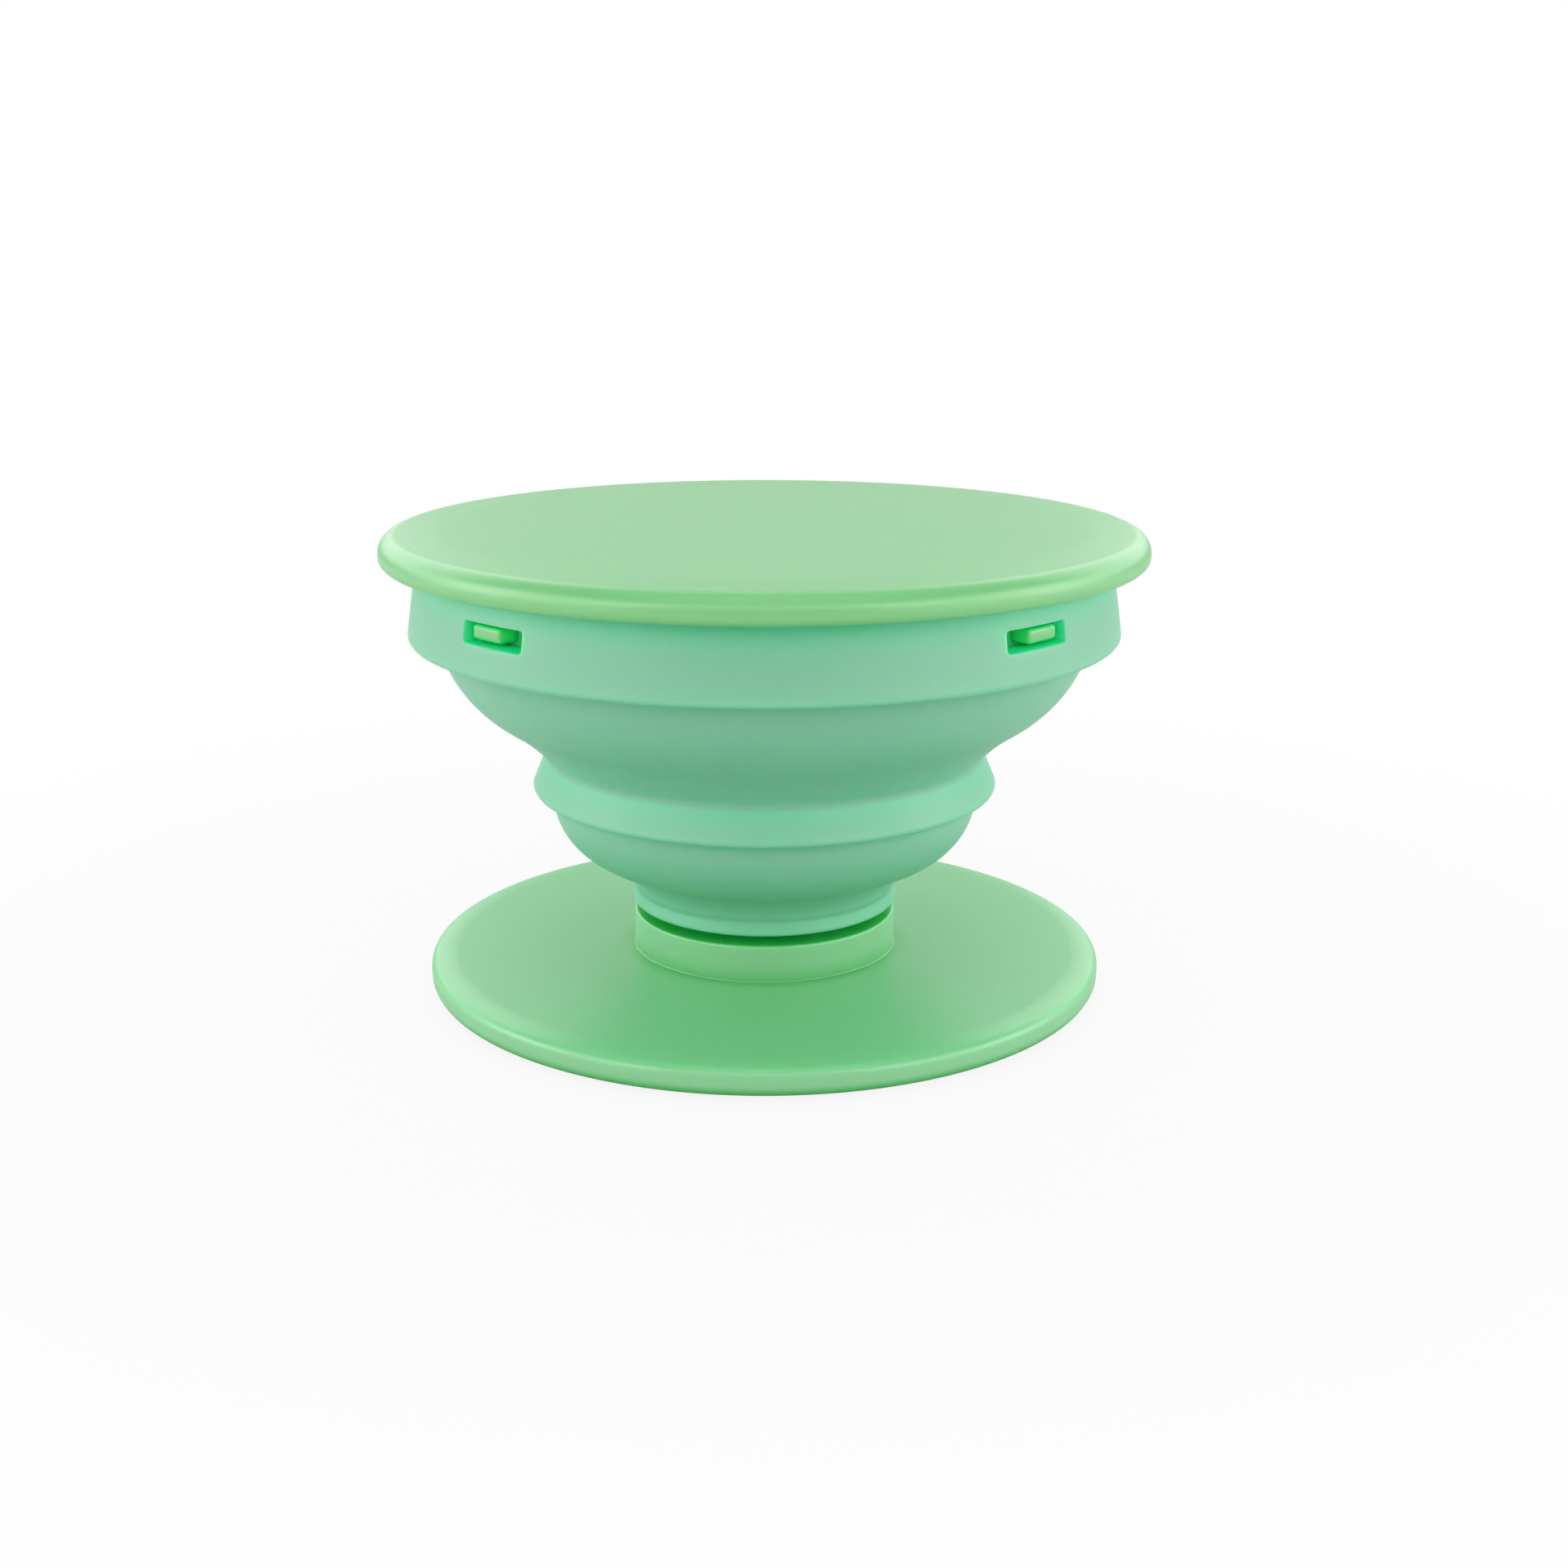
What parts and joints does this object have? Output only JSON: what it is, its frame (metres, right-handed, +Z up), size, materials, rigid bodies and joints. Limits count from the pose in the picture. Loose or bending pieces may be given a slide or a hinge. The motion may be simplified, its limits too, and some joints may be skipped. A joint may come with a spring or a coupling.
{
  "type": "collapsible phone stand",
  "caption": "Stick-on phone stand and grip: a sticky-backed round base, a swivelling accordion stem that folds flat and a round button clipped onto its top ring.",
  "frame": {"origin": "centre of the sticky pad's lower face", "axes": "+Z up through the stem and the button, -Y towards the viewer of the picture, +X to the viewer's right"},
  "size_m": [0.04, 0.04, 0.0247],
  "materials": {
    "button_plastic": "satin moulded, light spring green",
    "accordion_elastomer": "fine matte moulded elastomer, mint green",
    "base_plastic": "satin moulded, light spring green",
    "pad_adhesive": "soft tacky foam, pale grey"
  },
  "bodies": {
    "base": {"base_platform": "base_plastic", "adhesive_pad": "pad_adhesive"},
    "stem": {"accordion": "accordion_elastomer"},
    "button": {"top_button": "button_plastic"}
  },
  "joints": [
    {"name": "swivel", "type": "hinge", "parent": "base", "child": "stem", "pos_m": [0, 0, 0.0025], "axis": [0, 0, 1], "continuous": true},
    {"name": "collapse", "type": "slide", "parent": "stem", "child": "button", "axis": [0, 0, -1], "range_m": [0, 0.0165], "deforming": ["accordion"]}
  ]
}
